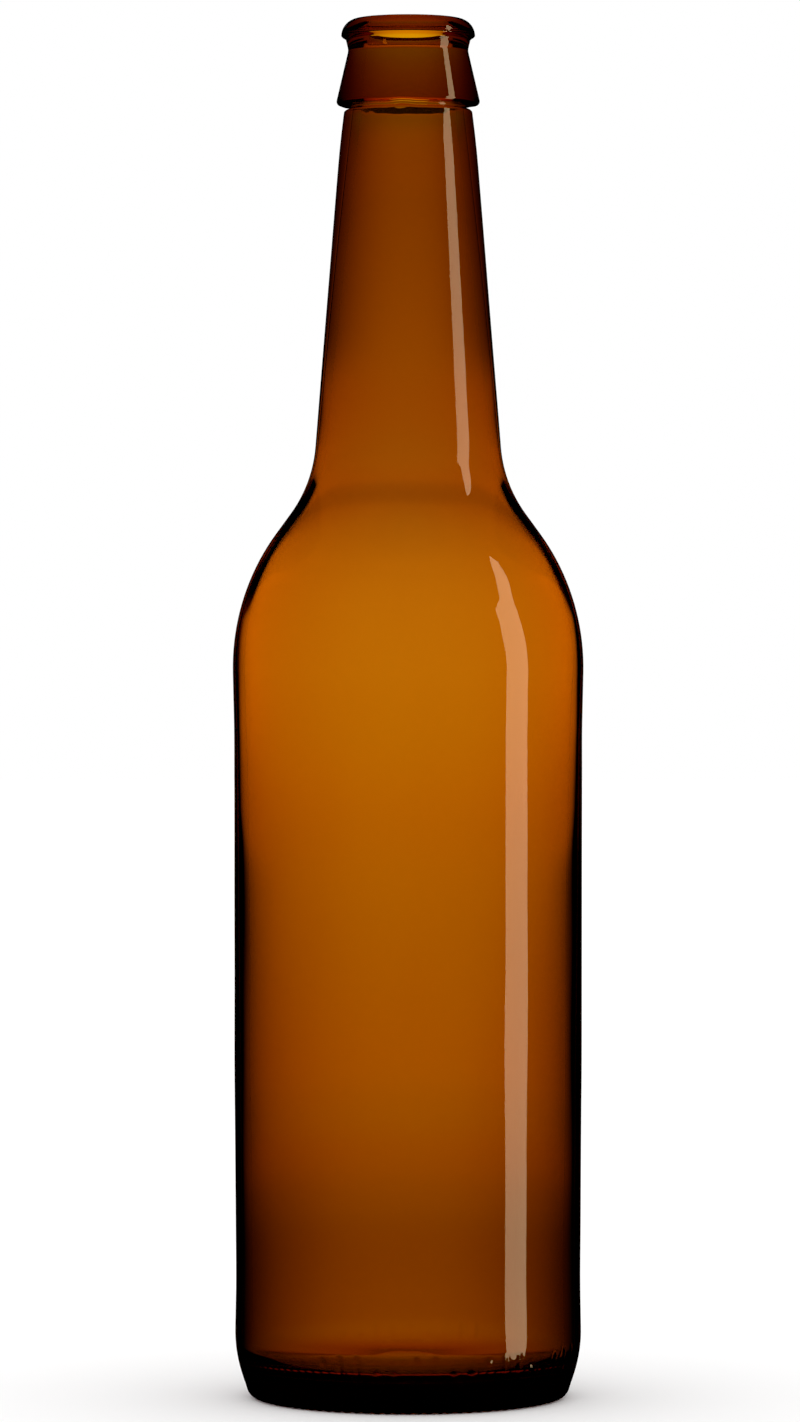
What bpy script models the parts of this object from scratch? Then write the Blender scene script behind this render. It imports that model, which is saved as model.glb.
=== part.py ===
"""Long-neck beer bottle, 0.5 litre: one body of amber glass, empty and open, with a crown finish.

Metres, +Z up. The origin is the centre of the ring that the bottle stands on.
The glass is one turned solid: a section through its wall, spun round the bottle's axis.
"""
import math

import bpy
from mathutils import Vector

# Heights of the outline's corners above the standing plane
HEIGHT = 0.2705
BEAD_BOTTOM = 0.2670
BEAD_ROOT = 0.2664
COLLAR_WAIST = 0.2643
SKIRT_EDGE = 0.2542
SKIRT_BOTTOM = 0.2531
NECK_BEND = 0.2462
NECK_FOOT = 0.1794
SHOULDER = 0.1574
LABEL_TOP = 0.1304
LABEL_FOOT = 0.0641
HEEL_TOP = 0.0225
HEEL = 0.0090

# Their radii
BEAD_R = 0.01312
BEAD_ROOT_R = 0.01222
COLLAR_WAIST_R = 0.01172
SKIRT_R = 0.01425
NECK_TOP_R = 0.01235
NECK_BEND_R = 0.01327
NECK_FOOT_R = 0.01868
SHOULDER_R = 0.03467
LABEL_TOP_R = 0.03406
LABEL_FOOT_R = 0.03401
HEEL_TOP_R = 0.03370
HEEL_R = 0.03397

# The ring it stands on, and the hollow pushed up under the base
STAND_OUTER_R = 0.0311
STAND_INNER_R = 0.0272
HOLLOW_R = 0.0246
HOLLOW_STEP = 0.0015
HOLLOW_FLAT_R = 0.0120
HOLLOW_TOP = 0.0032

# The bore, and the glass that the inside leaves at each height
BORE_R = 0.0083
BORE_FOOT = 0.2620
BASE_GLASS = 0.0036
FLOOR_FLAT_R = 0.0120
FLOOR_DROP = 0.0028
WALL_FLOOR = 0.0028
WALL_HEEL = 0.0028
WALL_LABEL_FOOT = 0.0028
WALL_LABEL_TOP = 0.0020
WALL_SHOULDER = 0.0021
WALL_NECK_TOP = 0.0033

# The radii that round the corners
LIP_ROUND = 0.0034
MOUTH_ROUND = 0.0013
BEAD_ROUND = 0.0005
BEAD_ROOT_ROUND = 0.0004
COLLAR_WAIST_ROUND = 0.0025
SKIRT_ROUND = 0.0008
SKIRT_NOTCH_ROUND = 0.00035
NECK_BEND_ROUND = 0.2000
NECK_FOOT_ROUND = 0.0259
SHOULDER_ROUND = 0.0447
LABEL_TOP_ROUND = 0.2000
LABEL_FOOT_ROUND = 0.6000
HEEL_TOP_ROUND = 0.3000
HEEL_ROUND = 0.0270
STAND_OUTER_ROUND = 0.0023
STAND_INNER_ROUND = 0.0012
HOLLOW_STEP_ROUND = 0.0060
HOLLOW_TOP_ROUND = 0.1200
FLOOR_ROUND = 0.0900
KNUCKLE_ROUND = 0.0055
BORE_FOOT_ROUND = 0.0600

# How far a chord may stand off its arc in the section, and the sides of the turned body
ARC_SAG = 0.00005
TURN_STEPS = 48


def corner(radius, height, fillet=0.0):
    """One corner of the section: its place, and the radius that rounds it."""
    return Vector((radius, height)), fillet


def rounded(corners):
    """The outline through the corners, each one replaced by an arc that meets both of its sides."""
    points = [corners[0][0]]
    for (before, _), (here, fillet), (after, _) in zip(corners, corners[1:], corners[2:]):
        to_before = (before - here).normalized()
        to_after = (after - here).normalized()
        half = to_before.angle(to_after) / 2
        start = here + to_before * fillet / math.tan(half)
        centre = here + (to_before + to_after).normalized() * fillet / math.sin(half)
        spoke = start - centre
        turn = math.pi - 2 * half
        if to_before.cross(to_after) > 0:
            turn = -turn
        steps = math.ceil(abs(turn) / (2 * math.acos(1 - ARC_SAG / fillet)))
        for step in range(steps + 1):
            angle = turn * step / steps
            turned = Vector((
                spoke.x * math.cos(angle) - spoke.y * math.sin(angle),
                spoke.x * math.sin(angle) + spoke.y * math.cos(angle),
            ))
            points.append(centre + turned)
    points.append(corners[-1][0])
    return points


def inner_corners():
    """The inside, from the middle of the floor up the wall to the mouth."""
    floor = HOLLOW_TOP + BASE_GLASS
    # The shoulder's straight stretch, moved in along its normal, cut where the walls beside it run
    down = Vector((SHOULDER_R - NECK_FOOT_R, SHOULDER - NECK_FOOT)).normalized()
    edge = Vector((SHOULDER_R, SHOULDER)) + WALL_SHOULDER * Vector((down.y, -down.x))
    wide = edge + down * (SHOULDER_R - WALL_SHOULDER - edge.x) / down.x
    narrow = edge + down * (NECK_FOOT_R - WALL_SHOULDER - edge.x) / down.x
    return [
        corner(0.0, floor),
        corner(FLOOR_FLAT_R, floor, FLOOR_ROUND),
        corner(HEEL_R - WALL_FLOOR, floor - FLOOR_DROP, KNUCKLE_ROUND),
        corner(HEEL_TOP_R - WALL_HEEL, HEEL_TOP, HEEL_TOP_ROUND),
        corner(LABEL_FOOT_R - WALL_LABEL_FOOT, LABEL_FOOT, LABEL_FOOT_ROUND),
        corner(LABEL_TOP_R - WALL_LABEL_TOP, LABEL_TOP, LABEL_TOP_ROUND),
        corner(*wide, SHOULDER_ROUND - WALL_SHOULDER),
        corner(*narrow, NECK_FOOT_ROUND + WALL_SHOULDER),
        corner(NECK_BEND_R - WALL_NECK_TOP, NECK_BEND, NECK_BEND_ROUND),
        corner(BORE_R, BORE_FOOT, BORE_FOOT_ROUND),
        corner(BORE_R, HEIGHT, MOUTH_ROUND),
    ]


def outer_corners():
    """The outside, from the lip down to the middle of the hollow under the base."""
    return [
        corner(BEAD_R, HEIGHT, LIP_ROUND),
        corner(BEAD_R, BEAD_BOTTOM, BEAD_ROUND),
        corner(BEAD_ROOT_R, BEAD_ROOT, BEAD_ROOT_ROUND),
        corner(COLLAR_WAIST_R, COLLAR_WAIST, COLLAR_WAIST_ROUND),
        corner(SKIRT_R, SKIRT_EDGE, SKIRT_ROUND),
        corner(NECK_TOP_R, SKIRT_BOTTOM, SKIRT_NOTCH_ROUND),
        corner(NECK_BEND_R, NECK_BEND, NECK_BEND_ROUND),
        corner(NECK_FOOT_R, NECK_FOOT, NECK_FOOT_ROUND),
        corner(SHOULDER_R, SHOULDER, SHOULDER_ROUND),
        corner(LABEL_TOP_R, LABEL_TOP, LABEL_TOP_ROUND),
        corner(LABEL_FOOT_R, LABEL_FOOT, LABEL_FOOT_ROUND),
        corner(HEEL_TOP_R, HEEL_TOP, HEEL_TOP_ROUND),
        corner(HEEL_R, HEEL, HEEL_ROUND),
        corner(STAND_OUTER_R, 0.0, STAND_OUTER_ROUND),
        corner(STAND_INNER_R, 0.0, STAND_INNER_ROUND),
        corner(HOLLOW_R, HOLLOW_STEP, HOLLOW_STEP_ROUND),
        corner(HOLLOW_FLAT_R, HOLLOW_TOP, HOLLOW_TOP_ROUND),
        corner(0.0, HOLLOW_TOP),
    ]


def amber_glass():
    material = bpy.data.materials.new("amber_glass")
    material.use_nodes = True
    shader = material.node_tree.nodes["Principled BSDF"]
    shader.inputs["Base Color"].default_value = (0.43, 0.12, 0.01, 1.0)
    shader.inputs["Roughness"].default_value = 0.03
    shader.inputs["Metallic"].default_value = 0.0
    shader.inputs["IOR"].default_value = 1.52
    shader.inputs["Transmission Weight"].default_value = 0.9
    return material


def turned(name, outline, material, collection):
    """A solid of revolution: the outline as a chain of edges at +X, with a Screw modifier round Z."""
    mesh = bpy.data.meshes.new(name)
    vertices = [(point.x, 0.0, point.y) for point in outline]
    edges = [(index, index + 1) for index in range(len(outline) - 1)]
    mesh.from_pydata(vertices, edges, [])
    mesh.materials.append(material)
    piece = bpy.data.objects.new(name, mesh)
    collection.objects.link(piece)
    screw = piece.modifiers.new("Turn", "SCREW")
    screw.axis = "Z"
    screw.angle = 2 * math.pi
    screw.steps = TURN_STEPS
    screw.render_steps = TURN_STEPS
    screw.use_merge_vertices = True
    screw.merge_threshold = 0.00001
    screw.use_smooth_shade = True
    return piece


def main():
    for old in list(bpy.data.objects):
        bpy.data.objects.remove(old, do_unlink=True)
    collection = bpy.data.collections.new("long_neck_beer_bottle")
    bpy.context.scene.collection.children.link(collection)
    section = rounded(inner_corners() + outer_corners())
    turned("bottle", section, amber_glass(), collection)


main()
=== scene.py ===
import math

import bmesh
import bpy
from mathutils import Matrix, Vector, noise


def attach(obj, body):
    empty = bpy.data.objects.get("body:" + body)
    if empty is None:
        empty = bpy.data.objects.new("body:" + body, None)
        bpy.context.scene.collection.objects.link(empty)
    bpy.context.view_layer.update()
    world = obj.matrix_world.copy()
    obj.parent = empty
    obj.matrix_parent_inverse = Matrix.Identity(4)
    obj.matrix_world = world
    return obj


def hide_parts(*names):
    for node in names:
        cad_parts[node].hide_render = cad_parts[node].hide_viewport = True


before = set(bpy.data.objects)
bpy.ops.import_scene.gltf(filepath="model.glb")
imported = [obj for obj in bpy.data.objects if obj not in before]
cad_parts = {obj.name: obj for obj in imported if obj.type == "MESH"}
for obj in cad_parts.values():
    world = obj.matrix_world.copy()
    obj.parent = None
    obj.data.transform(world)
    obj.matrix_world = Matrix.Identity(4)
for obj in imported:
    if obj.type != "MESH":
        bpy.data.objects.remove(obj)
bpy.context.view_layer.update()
print("frame loaded")


bottle = {
    # heights of the outline's corners
    "height": 0.2705,
    "beadBottom": 0.2670,
    "beadRoot": 0.2664,
    "collarWaist": 0.2643,
    "skirtBottom": 0.2535,
    "grooveFoot": 0.2530,
    "neckTop": 0.2525,
    "neckBend": 0.2462,
    "neckFoot": 0.1794,
    "shoulder": 0.1574,
    "labelTop": 0.1304,
    "labelFoot": 0.0641,
    "heelTop": 0.0225,
    "heel": 0.0090,
    # their radii
    "beadRadius": 0.01312,
    "beadRootRadius": 0.01222,
    "collarWaistRadius": 0.01172,
    "skirtRadius": 0.01425,
    "grooveRadius": 0.01120,
    "neckTopRadius": 0.01244,
    "neckBendRadius": 0.01327,
    "neckFootRadius": 0.01868,
    "shoulderRadius": 0.03467,
    "labelTopRadius": 0.03406,
    "labelFootRadius": 0.03401,
    "heelTopRadius": 0.03370,
    "heelRadius": 0.03397,
    # the standing ring and the hollow under the base
    "standOuter": 0.0311,
    "standInner": 0.0272,
    "hollowRadius": 0.0246,
    "hollowStep": 0.0015,
    "hollowFlat": 0.0120,
    "hollowTop": 0.0032,
    # the bore and the floor inside
    "boreRadius": 0.0083,
    "boreFoot": 0.2620,
    "baseGlass": 0.0048,
    "floorFlat": 0.0120,
    "floorDrop": 0.0028,
}

wall = {
    "floor": 0.0028,
    "heel": 0.0028,
    "labelFoot": 0.0028,
    "labelTop": 0.0020,
    "shoulder": 0.0015,
    "neckTop": 0.0033,
}

rounding = {
    "lip": 0.0034,
    "mouth": 0.0013,
    "bead": 0.0005,
    "beadRoot": 0.0004,
    "collarWaist": 0.0025,
    "skirt": 0.0008,
    "groove": 0.00020,
    "neckTop": 0.0005,
    "neckBend": 0.2000,
    "neckFoot": 0.0259,
    "shoulder": 0.0447,
    "labelTop": 0.2000,
    "labelFoot": 0.6000,
    "heelTop": 0.3000,
    "heel": 0.0270,
    "standOuter": 0.0023,
    "standInner": 0.0012,
    "hollowStep": 0.0060,
    "hollowTop": 0.1200,
    "floor": 0.0900,
    "knuckle": 0.0055,
    "boreFoot": 0.0600,
}

mesh = {
    "chordSag": 0.000007,   # how far a chord may stand off its arc
    "rowGap": 0.0048,       # rows on the straight stretches are no further apart
    "baseRowGap": 0.0006,   # and on the heel and the standing ring
    "fineBelow": 0.01395,   # the heel's fine mesh ends here
    "fineMargin": 0.0001,   # and starts this far inside the hollow's edge
    "segments": 272,        # a multiple of 4, so that a column of points lies on each seam
    "poleGap": 0.000002,    # points nearer than this become one, as at the axis
    "levelWithin": 1e-7,    # the ends of a level edge differ by less
}


def corner(radius, height, fillet=0.0):
    return Vector((radius, height)), fillet


def roundedOutline(corners):
    # every corner between the ends becomes an arc that meets both of its sides
    points = [corners[0][0]]
    for (before, _), (here, fillet), (after, _) in zip(corners, corners[1:], corners[2:]):
        toBefore = (before - here).normalized()
        toAfter = (after - here).normalized()
        half = toBefore.angle(toAfter) / 2
        start = here + toBefore * fillet / math.tan(half)
        centre = here + (toBefore + toAfter).normalized() * fillet / math.sin(half)
        spoke = start - centre
        turn = math.pi - 2 * half
        if toBefore.cross(toAfter) > 0:
            turn = -turn
        steps = math.ceil(abs(turn) / (2 * math.acos(1 - mesh["chordSag"] / fillet)))
        for step in range(steps + 1):
            angle = turn * step / steps
            points.append(centre + Vector((
                spoke.x * math.cos(angle) - spoke.y * math.sin(angle),
                spoke.x * math.sin(angle) + spoke.y * math.cos(angle),
            )))
    points.append(corners[-1][0])
    return points


def insideCorners():
    # from the middle of the floor up the wall to the mouth
    b, w, r = bottle, wall, rounding
    floor = b["hollowTop"] + b["baseGlass"]
    outer = Vector((b["shoulderRadius"], b["shoulder"]))
    down = (outer - Vector((b["neckFootRadius"], b["neckFoot"]))).normalized()
    edge = outer + w["shoulder"] * Vector((down.y, -down.x))
    wide = edge + down * (outer.x - w["shoulder"] - edge.x) / down.x
    narrow = edge + down * (b["neckFootRadius"] - w["shoulder"] - edge.x) / down.x
    return [
        corner(0.0, floor),
        corner(b["floorFlat"], floor, r["floor"]),
        corner(b["heelRadius"] - w["floor"], floor - b["floorDrop"], r["knuckle"]),
        corner(b["heelTopRadius"] - w["heel"], b["heelTop"], r["heelTop"]),
        corner(b["labelFootRadius"] - w["labelFoot"], b["labelFoot"], r["labelFoot"]),
        corner(b["labelTopRadius"] - w["labelTop"], b["labelTop"], r["labelTop"]),
        corner(*wide, r["shoulder"] - w["shoulder"]),
        corner(*narrow, r["neckFoot"] + w["shoulder"]),
        corner(b["neckBendRadius"] - w["neckTop"], b["neckBend"], r["neckBend"]),
        corner(b["boreRadius"], b["boreFoot"], r["boreFoot"]),
        corner(b["boreRadius"], b["height"], r["mouth"]),
    ]


def outsideCorners():
    # from the lip down to the middle of the hollow under the base
    b, r = bottle, rounding
    return [
        corner(b["beadRadius"], b["height"], r["lip"]),
        corner(b["beadRadius"], b["beadBottom"], r["bead"]),
        corner(b["beadRootRadius"], b["beadRoot"], r["beadRoot"]),
        corner(b["collarWaistRadius"], b["collarWaist"], r["collarWaist"]),
        corner(b["skirtRadius"], b["skirtBottom"], r["skirt"]),
        corner(b["grooveRadius"], b["skirtBottom"], r["groove"]),
        corner(b["grooveRadius"], b["grooveFoot"], r["groove"]),
        corner(b["neckTopRadius"], b["neckTop"], r["neckTop"]),
        corner(b["neckBendRadius"], b["neckBend"], r["neckBend"]),
        corner(b["neckFootRadius"], b["neckFoot"], r["neckFoot"]),
        corner(b["shoulderRadius"], b["shoulder"], r["shoulder"]),
        corner(b["labelTopRadius"], b["labelTop"], r["labelTop"]),
        corner(b["labelFootRadius"], b["labelFoot"], r["labelFoot"]),
        corner(b["heelTopRadius"], b["heelTop"], r["heelTop"]),
        corner(b["heelRadius"], b["heel"], r["heel"]),
        corner(b["standOuter"], 0.0, r["standOuter"]),
        corner(b["standInner"], 0.0, r["standInner"]),
        corner(b["hollowRadius"], b["hollowStep"], r["hollowStep"]),
        corner(b["hollowFlat"], b["hollowTop"], r["hollowTop"]),
        corner(0.0, b["hollowTop"]),
    ]


sway = {
    "outside": 0.00004,     # how far the outer face wanders
    "inside": 0.00006,      # the blown inside wanders more
    "across": 55.0,         # waves per metre round the body
    "along": 22.0,          # and up it
    "fadeHeight": 0.020,
    "insideSeed": 11.0,
    "outsideSeed": 37.0,
}

knurls = {
    "count": 92,
    "depth": 0.00028,
    "inner": 0.0266,
    "outer": 0.0318,
    "innerFade": 0.0006,
    "outerFade": 0.0008,
    "bow": 20000.0,         # how strongly each ridge bends to a half-moon
    "fullness": 0.7,        # below 1 the ridges are broad and the cuts between them narrow
    "rise": 0.0016,
}

heelMarks = {
    "height": 0.0091,
    "rise": 0.00018,
    "pitch": 0.0036,
    "barLength": 0.0031,
    "barWidth": 0.0009,
    "dotRadius": 0.0007,
    "dotLift": 0.0009,      # dots stand this far above or below the middle
    "flatTo": 0.55,         # shares of a mark's reach where its slope begins and ends
    "slopeTo": 1.25,
    "order": ("bar", "bar", "low dot", "low dot", "high dot"),
    "frontFrom": math.radians(-34),
    "frontTo": math.radians(74),
    "backFrom": math.radians(150),
    "backTo": math.radians(205),
}

# at the two sides; the column of points is raised that lies within this share of the gap between columns
seams = {"rise": 0.00010, "bottom": 0.0030, "top": 0.2525, "within": 0.2}

# the collar's foot runs a little up and down round the neck
skirtLine = {"height": 0.2531, "reach": 0.0020, "wander": 0.00022, "waves": 3.5, "inner": 0.0107}

# the ring that the blowing mould leaves in the hollow under the base
baffleRing = {"radius": 0.0175, "offset": 0.0012, "width": 0.0004, "depth": 0.00010}


def smooth(low, high, value):
    share = min(max((value - low) / (high - low), 0.0), 1.0)
    return share * share * (3 - 2 * share)


def wander(place, height, across, along, seed):
    # smooth unevenness between -1 and 1 that runs on round the bottle
    return noise.noise(Vector((place.x * across, place.y * across, height * along + seed)))


def knurlDepth(radius, angle):
    # half-moon ridges across the standing ring; the glass between them is cut back
    inRing = smooth(knurls["inner"], knurls["inner"] + knurls["innerFade"], radius)
    inRing *= 1 - smooth(knurls["outer"] - knurls["outerFade"], knurls["outer"], radius)
    middle = (knurls["inner"] + knurls["outer"]) / 2
    bow = knurls["bow"] * (radius - middle) ** 2
    ridge = 0.5 + 0.5 * math.cos(knurls["count"] * angle + bow)
    return knurls["depth"] * inRing * (1 - ridge ** knurls["fullness"])


def markRise(around, height):
    # short bars and dots, raised on the heel in a row that repeats
    index = math.floor(around / heelMarks["pitch"])
    sideways = around - (index + 0.5) * heelMarks["pitch"]
    upward = height - heelMarks["height"]
    kind = heelMarks["order"][index % len(heelMarks["order"])]
    if kind == "bar":
        over = max(abs(upward) - heelMarks["barLength"] / 2, 0.0)
        away = math.hypot(sideways, over) / (heelMarks["barWidth"] / 2)
    else:
        lift = heelMarks["dotLift"] if kind == "high dot" else -heelMarks["dotLift"]
        away = math.hypot(sideways, upward - lift) / heelMarks["dotRadius"]
    return heelMarks["rise"] * (1 - smooth(heelMarks["flatTo"], heelMarks["slopeTo"], away))


def mouldRelief(place, inside):
    # where a point of the smooth form lies on the real, moulded glass
    radius = math.hypot(place.x, place.y)
    if radius < 1e-6:
        return place
    angle = math.atan2(place.x, -place.y)   # 0 at the front, growing towards +X
    height = place.z
    outward = Vector((place.x / radius, place.y / radius, 0.0))
    push = 0.0
    lift = 0.0
    if inside:
        floor = bottle["hollowTop"] + bottle["baseGlass"]
        fade = smooth(floor, floor + sway["fadeHeight"], height)
        fade *= 1 - smooth(bottle["boreFoot"] - sway["fadeHeight"], bottle["boreFoot"], height)
        waves = wander(place, height, sway["across"], sway["along"], sway["insideSeed"])
        push += sway["inside"] * fade * waves
    else:
        fade = smooth(bottle["heel"], bottle["heelTop"], height)
        fade *= 1 - smooth(bottle["neckBend"], bottle["skirtBottom"], height)
        waves = wander(place, height, 2 * sway["across"], 2 * sway["along"], sway["outsideSeed"])
        push += sway["outside"] * fade * waves
        if height < 2 * knurls["rise"] and radius > knurls["inner"]:
            lift += knurlDepth(radius, angle) * (1 - smooth(knurls["rise"], 2 * knurls["rise"], height))
        if radius > bottle["standOuter"] and height < bottle["heelTop"]:
            front = heelMarks["frontFrom"] < angle < heelMarks["frontTo"]
            turned = angle % (2 * math.pi)
            back = heelMarks["backFrom"] < turned < heelMarks["backTo"]
            if front or back:
                push += markRise(turned * bottle["heelRadius"], height)
        fromSeam = abs(abs(angle) - math.pi / 2)
        onSeam = fromSeam < seams["within"] * 2 * math.pi / mesh["segments"]
        if onSeam and seams["bottom"] < height < seams["top"]:
            push += seams["rise"]
        fromSkirt = abs(height - skirtLine["height"])
        if fromSkirt < skirtLine["reach"] and radius > skirtLine["inner"]:
            near = 1 - smooth(0.0, skirtLine["reach"], fromSkirt)
            turns = Vector((math.cos(angle), math.sin(angle), 0.0)) * skirtLine["waves"]
            lift += skirtLine["wander"] * near * noise.noise(turns)
        inHollow = 0.5 * bottle["hollowTop"] < height < bottle["heel"]
        if inHollow and radius < bottle["hollowRadius"]:
            away = abs(math.hypot(place.x - baffleRing["offset"], place.y) - baffleRing["radius"])
            lift += baffleRing["depth"] * (1 - smooth(0.0, baffleRing["width"], away))
    return place + outward * push + Vector((0.0, 0.0, lift))


def addRows(bm, chosen, gap):
    # splits each chosen edge so that no stretch of it is longer than the gap
    byCuts = {}
    for edge in chosen:
        cuts = math.ceil(edge.calc_length() / gap) - 1
        if cuts > 0:
            byCuts.setdefault(cuts, []).append(edge)
    for cuts, edges in byCuts.items():
        bmesh.ops.subdivide_edges(bm, edges=edges, cuts=cuts)


def nearHeel(edge, insideLayer, innermost):
    # on the outside of the heel or the standing ring, and no nearer to the axis than innermost
    return all(
        vert.co.z < mesh["fineBelow"] and vert[insideLayer] < 0.5
        and vert.co.xy.length > innermost for vert in edge.verts
    )


def glassBody(material):
    section = roundedOutline(insideCorners() + outsideCorners())
    lip = max(range(len(section)), key=lambda index: section[index].y)
    bm = bmesh.new()
    insideLayer = bm.verts.layers.float.new("inside")
    chain = []
    for index, point in enumerate(section):
        vert = bm.verts.new((point.x, 0.0, point.y))
        vert[insideLayer] = 1.0 if index <= lip else 0.0
        chain.append(vert)
    for below, above in zip(chain, chain[1:]):
        bm.edges.new((below, above))

    def fine(edge):
        return nearHeel(edge, insideLayer, bottle["hollowRadius"] - mesh["fineMargin"])

    addRows(bm, [edge for edge in bm.edges if fine(edge)], mesh["baseRowGap"])
    addRows(bm, [edge for edge in bm.edges if not fine(edge)], mesh["rowGap"])

    bmesh.ops.spin(
        bm, geom=bm.verts[:] + bm.edges[:], cent=(0, 0, 0), axis=(0, 0, 1),
        angle=2 * math.pi, steps=mesh["segments"], use_merge=True,
    )
    bmesh.ops.remove_doubles(bm, verts=bm.verts, dist=mesh["poleGap"])

    # twice as many points round the heel and the standing ring, for the marks and the knurls
    def level(edge):
        first, second = edge.verts
        rise = abs(first.co.z - second.co.z)
        spread = abs(first.co.xy.length - second.co.xy.length)
        return rise < mesh["levelWithin"] and spread < mesh["levelWithin"]

    heel = [edge for edge in bm.edges if nearHeel(edge, insideLayer, bottle["hollowRadius"])]
    bmesh.ops.subdivide_edges(bm, edges=[edge for edge in heel if level(edge)], cuts=1)

    for vert in bm.verts:
        vert.co = mouldRelief(vert.co.copy(), vert[insideLayer] > 0.5)
    bmesh.ops.recalc_face_normals(bm, faces=bm.faces)
    for face in bm.faces:
        face.smooth = True
    body = bpy.data.meshes.new("bottle_glass")
    bm.to_mesh(body)
    bm.free()
    body.materials.append(material)
    piece = bpy.data.objects.new("bottle_glass", body)
    bpy.context.scene.collection.objects.link(piece)
    return piece


amber = {
    "tint": (0.932, 0.766, 0.0, 1.0),
    "density": 1900.0,
    "bend": 1.52,
    "roughLow": 0.0,
    "roughHigh": 0.02,
    "cloudScale": 60.0,     # the finish is a little duller in clouds
    "cloudDetail": 3.0,
    "cloudLow": 0.4,
    "cloudHigh": 0.8,
    "skinScale": 700.0,     # and its skin is very finely uneven
    "skinDetail": 2.0,
    "skinHeight": 0.000004,
    "skinStrength": 0.15,
}


def amberGlass():
    material = bpy.data.materials.new("amber_glass")
    material.use_nodes = True
    nodes = material.node_tree.nodes
    links = material.node_tree.links
    shader = nodes["Principled BSDF"]
    shader.inputs["Base Color"].default_value = (1.0, 1.0, 1.0, 1.0)
    shader.inputs["Transmission Weight"].default_value = 1.0
    shader.inputs["IOR"].default_value = amber["bend"]
    output = nodes["Material Output"]
    place = nodes.new("ShaderNodeTexCoord")

    clouds = nodes.new("ShaderNodeTexNoise")
    clouds.inputs["Scale"].default_value = amber["cloudScale"]
    clouds.inputs["Detail"].default_value = amber["cloudDetail"]
    links.new(place.outputs["Object"], clouds.inputs["Vector"])
    polish = nodes.new("ShaderNodeMapRange")
    polish.inputs["From Min"].default_value = amber["cloudLow"]
    polish.inputs["From Max"].default_value = amber["cloudHigh"]
    polish.inputs["To Min"].default_value = amber["roughLow"]
    polish.inputs["To Max"].default_value = amber["roughHigh"]
    links.new(clouds.outputs["Fac"], polish.inputs["Value"])
    links.new(polish.outputs["Result"], shader.inputs["Roughness"])

    skin = nodes.new("ShaderNodeTexNoise")
    skin.inputs["Scale"].default_value = amber["skinScale"]
    skin.inputs["Detail"].default_value = amber["skinDetail"]
    links.new(place.outputs["Object"], skin.inputs["Vector"])
    bump = nodes.new("ShaderNodeBump")
    bump.inputs["Strength"].default_value = amber["skinStrength"]
    bump.inputs["Distance"].default_value = amber["skinHeight"]
    links.new(skin.outputs["Fac"], bump.inputs["Height"])
    links.new(bump.outputs["Normal"], shader.inputs["Normal"])

    depth = nodes.new("ShaderNodeVolumeAbsorption")
    depth.inputs["Color"].default_value = amber["tint"]
    depth.inputs["Density"].default_value = amber["density"]
    links.new(depth.outputs["Volume"], output.inputs["Volume"])
    return material


glass = glassBody(amberGlass())
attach(glass, "root")
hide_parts("bottle")
print("bottle made:", len(glass.data.polygons), "faces")


# level with the bottle's middle, so that the mouth is seen from below and the foot from above
camera = {
    "aimAside": -0.0016,
    "aimHeight": 0.13476,
    "elevation": math.radians(0.78),
    "distance": 1.276,
    "lens": 164.5,
}

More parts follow.
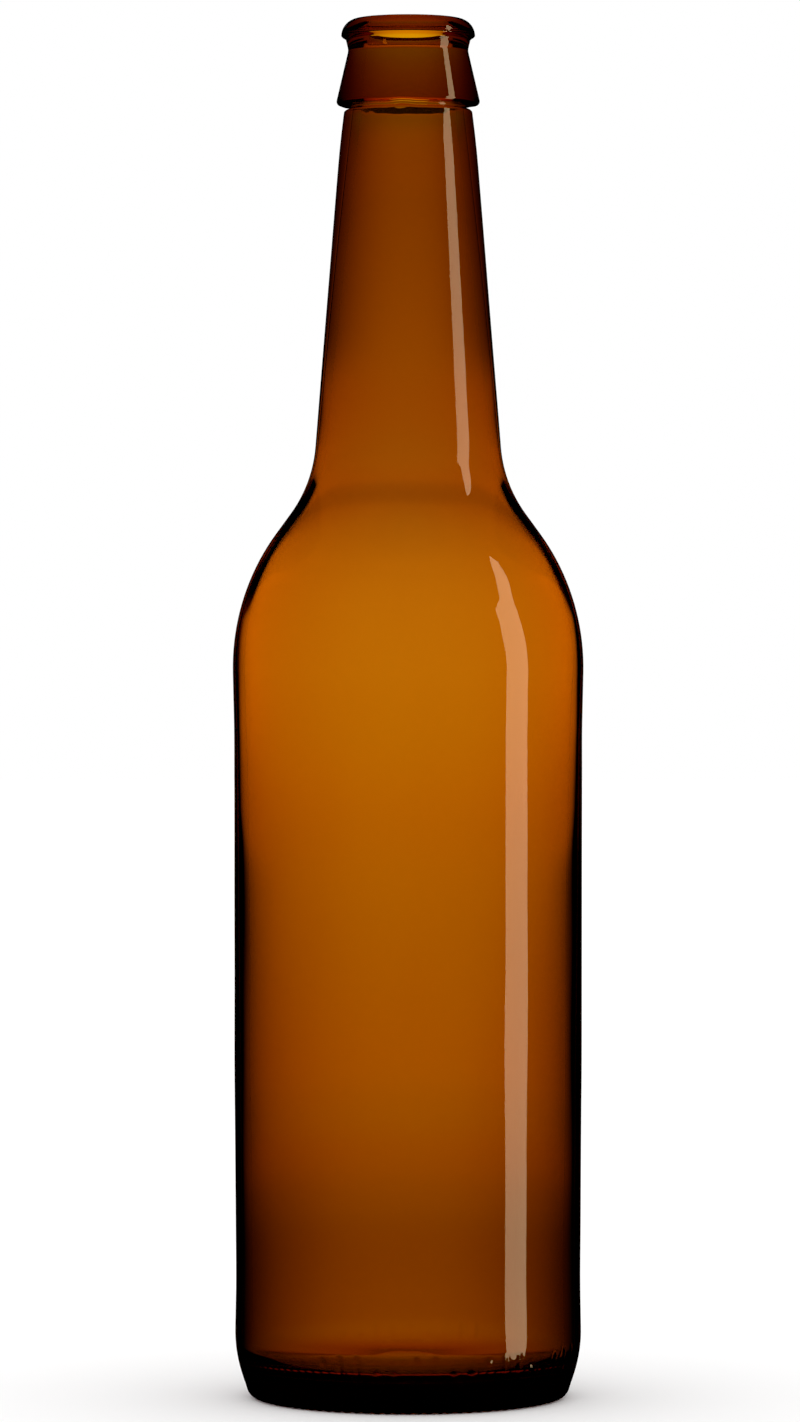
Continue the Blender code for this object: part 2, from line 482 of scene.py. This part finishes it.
tent = {
    "radius": 0.046,
    "bottom": -0.030,
    "top": 0.360,
    "sides": 128,
    "lookRadius": 0.035,    # no half width below is wider
    # height: how bright the tent glows there
    "glow": ((-0.03, 0.12), (-0.017, 0.2), (-0.01, 0.42), (-0.004, 0.5), (0.004, 0.52), (0.013, 0.47),
             (0.024, 0.43), (0.034, 0.5), (0.044, 0.63), (0.055, 0.72), (0.064, 0.79), (0.085, 0.78),
             (0.106, 0.81), (0.125, 0.85), (0.155, 0.81), (0.162, 0.77), (0.167, 0.7), (0.172, 0.62),
             (0.176, 0.51), (0.179, 0.4), (0.182, 0.51), (0.197, 0.51), (0.227, 0.48), (0.237, 0.48),
             (0.247, 0.52), (0.251, 0.49), (0.255, 0.37), (0.258, 0.37), (0.261, 0.34), (0.266, 0.36),
             (0.272, 0.6), (0.283, 1.25), (0.36, 1.25)),
    # height: how much greener than the rest the light is there
    "green": ((-0.03, 1.3), (0.0, 1.3), (0.006, 1.25), (0.013, 1.13), (0.024, 1.1), (0.034, 1.18),
              (0.044, 1.19), (0.054, 1.34), (0.064, 1.3), (0.095, 1.15), (0.115, 1.0), (0.126, 0.99),
              (0.14, 0.89), (0.166, 0.73), (0.172, 0.66), (0.179, 0.57), (0.186, 0.66), (0.197, 0.7),
              (0.207, 0.82), (0.216, 0.91), (0.237, 1.19), (0.247, 1.36), (0.251, 1.5), (0.255, 2.1),
              (0.258, 2.5), (0.261, 1.9), (0.266, 1.6), (0.283, 1.4), (0.36, 1.4)),
    # height: half the width that it shines over, seen through the bottle, and how sharply it ends there
    "halfWidth": ((-0.03, 0.0322), (0.035, 0.0322), (0.076, 0.0324), (0.106, 0.0327), (0.116, 0.0331),
                  (0.136, 0.033), (0.145, 0.0331), (0.153, 0.0327), (0.157, 0.0318), (0.169, 0.0275),
                  (0.173, 0.025), (0.179, 0.0218), (0.187, 0.0188), (0.191, 0.0181), (0.198, 0.0173),
                  (0.208, 0.017), (0.218, 0.016), (0.238, 0.0144), (0.248, 0.0137), (0.253, 0.0131),
                  (0.267, 0.013), (0.27, 0.012), (0.272, 0.0088), (0.36, 0.0085)),
    "sharpness": ((-0.03, 26.0), (0.035, 26.0), (0.055, 14.0), (0.095, 14.0), (0.106, 32.0),
                  (0.116, 60.0), (0.169, 60.0), (0.173, 40.0), (0.177, 50.0), (0.183, 60.0),
                  (0.192, 60.0), (0.198, 40.0), (0.208, 60.0), (0.36, 60.0)),
    # height: how much dimmer it is towards the sides, and how much brighter just before its end
    "dim": ((-0.03, 0.9), (0.021, 0.9), (0.035, 0.78), (0.055, 0.45), (0.076, 0.42), (0.095, 0.33),
            (0.106, 0.25), (0.116, 0.13), (0.126, 0.04), (0.192, 0.0), (0.198, 0.05), (0.208, 0.55),
            (0.218, 0.85), (0.228, 0.85), (0.238, 0.9), (0.248, 0.92), (0.253, 0.85), (0.263, 0.85),
            (0.267, 0.35), (0.269, 0.6), (0.36, 0.6)),
    "rim": ((-0.03, 0.0), (0.116, 0.0), (0.126, 0.2), (0.137, 0.45), (0.145, 0.5), (0.153, 0.6),
            (0.157, 0.6), (0.161, 0.75), (0.165, 1.2), (0.169, 1.2), (0.173, 0.4), (0.177, 0.1),
            (0.179, 0.1), (0.183, 0.75), (0.187, 0.65), (0.191, 0.4), (0.198, 0.0), (0.36, 0.0)),
    # the highest value in each of the tables, and how steeply the dimming and the rim set in
    "brightest": 1.5,
    "greenest": 3.0,
    "sharpest": 60.0,
    "brightestRim": 1.5,
    "dimFrom": 2.5,
    "rimFrom": 8.0,
}


def heightCurve(nodes, links, share, stops, most):
    # a value that follows the height by a smooth curve through the stops
    bottom = tent["bottom"]
    tall = tent["top"] - bottom
    curve = nodes.new("ShaderNodeFloatCurve")
    points = curve.mapping.curves[0].points
    points[0].location = (0.0, stops[0][1] / most)
    points[1].location = (1.0, stops[-1][1] / most)
    for at, value in stops[1:-1]:
        points.new((at - bottom) / tall, value / most)
    for point in points:
        point.handle_type = "AUTO_CLAMPED"
    curve.mapping.update()
    links.new(share, curve.inputs["Value"])
    back = nodes.new("ShaderNodeMath")
    back.operation = "MULTIPLY"
    links.new(curve.outputs["Value"], back.inputs[0])
    back.inputs[1].default_value = most
    return back.outputs[0]


def combine(nodes, links, operation, first, second):
    node = nodes.new("ShaderNodeMath")
    node.operation = operation
    for socket, value in zip(node.inputs, (first, second)):
        if isinstance(value, (int, float)):
            socket.default_value = value
        else:
            links.new(value, socket)
    return node.outputs[0]


def tentLight():
    # slatted like a lamp's louvre: each stretch shines straight in, and little to the side
    material = bpy.data.materials.new("tent_light")
    material.use_nodes = True
    nodes = material.node_tree.nodes
    links = material.node_tree.links
    nodes.clear()
    place = nodes.new("ShaderNodeTexCoord")
    split = nodes.new("ShaderNodeSeparateXYZ")
    links.new(place.outputs["Object"], split.inputs[0])
    raised = combine(nodes, links, "SUBTRACT", split.outputs["Z"], tent["bottom"])
    height = combine(nodes, links, "DIVIDE", raised, tent["top"] - tent["bottom"])
    backwards = combine(nodes, links, "MULTIPLY", split.outputs["Y"], -1.0)
    along = nodes.new("ShaderNodeCombineXYZ")
    links.new(backwards, along.inputs["X"])
    links.new(split.outputs["X"], along.inputs["Y"])
    unit = nodes.new("ShaderNodeVectorMath")
    unit.operation = "NORMALIZE"
    links.new(along.outputs[0], unit.inputs[0])
    slats = nodes.new("ShaderNodeLayerWeight")
    slats.inputs["Blend"].default_value = 0.5
    links.new(unit.outputs[0], slats.inputs["Normal"])
    # the share of a ray that runs sideways here; times the radius, how far from the axis it passes
    aside = combine(nodes, links, "SUBTRACT", 1.0, slats.outputs["Facing"])
    reach = combine(nodes, links, "MULTIPLY", aside, tent["radius"])
    halfWidth = heightCurve(nodes, links, height, tent["halfWidth"], tent["lookRadius"])
    sharpness = heightCurve(nodes, links, height, tent["sharpness"], tent["sharpest"])
    glow = heightCurve(nodes, links, height, tent["glow"], tent["brightest"])
    green = heightCurve(nodes, links, height, tent["green"], tent["greenest"])
    dim = heightCurve(nodes, links, height, tent["dim"], 1.0)
    rim = heightCurve(nodes, links, height, tent["rim"], tent["brightestRim"])
    share = combine(nodes, links, "DIVIDE", reach, halfWidth)
    cut = combine(nodes, links, "POWER", share, sharpness)
    opening = combine(nodes, links, "SUBTRACT", 1.0, cut)
    opening = combine(nodes, links, "MAXIMUM", opening, 0.0)
    sides = combine(nodes, links, "POWER", share, tent["dimFrom"])
    sides = combine(nodes, links, "MULTIPLY", sides, dim)
    edge = combine(nodes, links, "POWER", share, tent["rimFrom"])
    edge = combine(nodes, links, "MULTIPLY", edge, rim)
    across = combine(nodes, links, "SUBTRACT", 1.0, sides)
    across = combine(nodes, links, "ADD", across, edge)
    opening = combine(nodes, links, "MULTIPLY", opening, across)
    strength = combine(nodes, links, "MULTIPLY", opening, glow)
    tone = nodes.new("ShaderNodeCombineColor")
    tone.inputs["Red"].default_value = 1.0
    tone.inputs["Blue"].default_value = 1.0
    links.new(green, tone.inputs["Green"])
    shine = nodes.new("ShaderNodeEmission")
    links.new(tone.outputs["Color"], shine.inputs["Color"])
    links.new(strength, shine.inputs["Strength"])
    output = nodes.new("ShaderNodeOutputMaterial")
    links.new(shine.outputs[0], output.inputs["Surface"])

    bm = bmesh.new()
    bmesh.ops.create_cone(
        bm, cap_ends=False, segments=tent["sides"], radius1=tent["radius"], radius2=tent["radius"],
        depth=tent["top"] - tent["bottom"],
    )
    bmesh.ops.translate(bm, verts=bm.verts, vec=(0, 0, (tent["top"] + tent["bottom"]) / 2))
    return stagePiece("tent", bm, material, ("transmission",))


def stagePiece(name, bm, material, seenBy):
    data = bpy.data.meshes.new(name)
    bm.to_mesh(data)
    bm.free()
    data.materials.append(material)
    piece = bpy.data.objects.new(name, data)
    bpy.context.scene.collection.objects.link(piece)
    piece.visible_camera = "camera" in seenBy
    piece.visible_diffuse = "diffuse" in seenBy
    piece.visible_glossy = "glossy" in seenBy
    piece.visible_transmission = "transmission" in seenBy
    piece.visible_shadow = "shadow" in seenBy
    return piece


underLight = {"radius": 0.16, "depth": 0.045, "strength": 0.75}


def plainLight(name, strength, tone):
    material = bpy.data.materials.new(name)
    material.use_nodes = True
    nodes = material.node_tree.nodes
    nodes.clear()
    shine = nodes.new("ShaderNodeEmission")
    shine.inputs["Color"].default_value = tone
    shine.inputs["Strength"].default_value = strength
    output = nodes.new("ShaderNodeOutputMaterial")
    material.node_tree.links.new(shine.outputs[0], output.inputs["Surface"])
    return material


def lightUnderTable():
    bm = bmesh.new()
    bmesh.ops.create_circle(bm, cap_ends=True, segments=64, radius=underLight["radius"])
    bmesh.ops.translate(bm, verts=bm.verts, vec=(0, 0, -underLight["depth"]))
    material = plainLight("under_light", underLight["strength"], (1.0, 1.0, 1.0, 1.0))
    return stagePiece("under_light", bm, material, ("transmission",))


footShade = {"radius": 0.0305, "drop": 0.0004}


def shadeUnderFoot():
    # painted shade: a black disc, seen only through the glass, stands in for the floor that gets no
    # light under the bottle itself
    bm = bmesh.new()
    bmesh.ops.create_circle(bm, cap_ends=True, segments=64, radius=footShade["radius"])
    bmesh.ops.translate(bm, verts=bm.verts, vec=(0, 0, -footShade["drop"]))
    material = plainLight("foot_shade", 0.0, (0.0, 0.0, 0.0, 1.0))
    return stagePiece("foot_shade", bm, material, ("transmission",))


softbox = {
    "distance": 0.50,
    "strength": 4.3,
    "tone": (1.0, 0.72, 0.40, 1.0),
    # height, and the directions in degrees that it reaches between there, from the front towards +X
    "rows": ((-0.126, 76.4, 79.9), (-0.115, 71.4, 82.4), (-0.062, 66.9, 82.9), (-0.008, 65.4, 83.4),
             (0.152, 65.1, 82.9), (0.262, 63.6, 81.9), (0.375, 63.2, 80.7), (0.4165, 69.6, 81.8),
             (0.4726, 71.7, 84.7), (0.5296, 74.9, 85.1), (0.5875, 77.0, 85.5), (0.6478, 81.2, 82.7)),
}


def stripSoftbox():
    # a tall narrow box that leans to a point at its top
    rows = softbox["rows"]
    bm = bmesh.new()
    bmesh.ops.create_grid(bm, x_segments=1, y_segments=len(rows) - 1, size=0.5)
    for vert in bm.verts:
        height, near, far = rows[round((vert.co.y + 0.5) * (len(rows) - 1))]
        towards = math.radians(near if vert.co.x < 0 else far)
        vert.co = Vector((math.sin(towards), -math.cos(towards), 0.0)) * softbox["distance"]
        vert.co.z = height
    material = plainLight("softbox_light", softbox["strength"], softbox["tone"])
    return stagePiece("softbox", bm, material, ("glossy", "transmission"))


floorLook = {"tone": (0.9, 0.9, 0.9, 1.0), "radius": 5.0, "domeLight": 1.24}


def paleFloor():
    material = bpy.data.materials.new("pale_floor")
    material.use_nodes = True
    shader = material.node_tree.nodes["Principled BSDF"]
    shader.inputs["Base Color"].default_value = floorLook["tone"]
    shader.inputs["Roughness"].default_value = 0.9
    shader.inputs["Specular IOR Level"].default_value = 0.0
    bm = bmesh.new()
    bmesh.ops.create_circle(bm, cap_ends=True, segments=96, radius=floorLook["radius"])
    return stagePiece("floor", bm, material, ("camera", "diffuse", "shadow"))


def studioWorld():
    # white behind the bottle and softly lit floor; the glass itself mirrors and shows a dark room
    world = bpy.data.worlds.new("studio")
    world.use_nodes = True
    bpy.context.scene.world = world
    nodes = world.node_tree.nodes
    links = world.node_tree.links
    nodes.clear()
    path = nodes.new("ShaderNodeLightPath")
    dome = combine(nodes, links, "MULTIPLY", path.outputs["Is Diffuse Ray"], floorLook["domeLight"])
    strength = combine(nodes, links, "ADD", dome, path.outputs["Is Camera Ray"])
    sky = nodes.new("ShaderNodeBackground")
    sky.inputs["Color"].default_value = (1.0, 1.0, 1.0, 1.0)
    links.new(strength, sky.inputs["Strength"])
    output = nodes.new("ShaderNodeOutputWorld")
    links.new(sky.outputs[0], output.inputs["Surface"])


def studioCamera():
    data = bpy.data.cameras.new("camera")
    data.lens = camera["lens"]
    data.clip_end = 50.0
    eye = bpy.data.objects.new("camera", data)
    bpy.context.scene.collection.objects.link(eye)
    aim = Vector((camera["aimAside"], 0.0, camera["aimHeight"]))
    away = Vector((0.0, -math.cos(camera["elevation"]), math.sin(camera["elevation"])))
    eye.location = aim + away * camera["distance"]
    eye.rotation_euler = (-away).to_track_quat("-Z", "Y").to_euler()
    bpy.context.scene.camera = eye


tentLight()
lightUnderTable()
shadeUnderFoot()
stripSoftbox()
paleFloor()
studioWorld()
studioCamera()
bpy.context.scene.view_settings.view_transform = "Standard"
print("studio set")
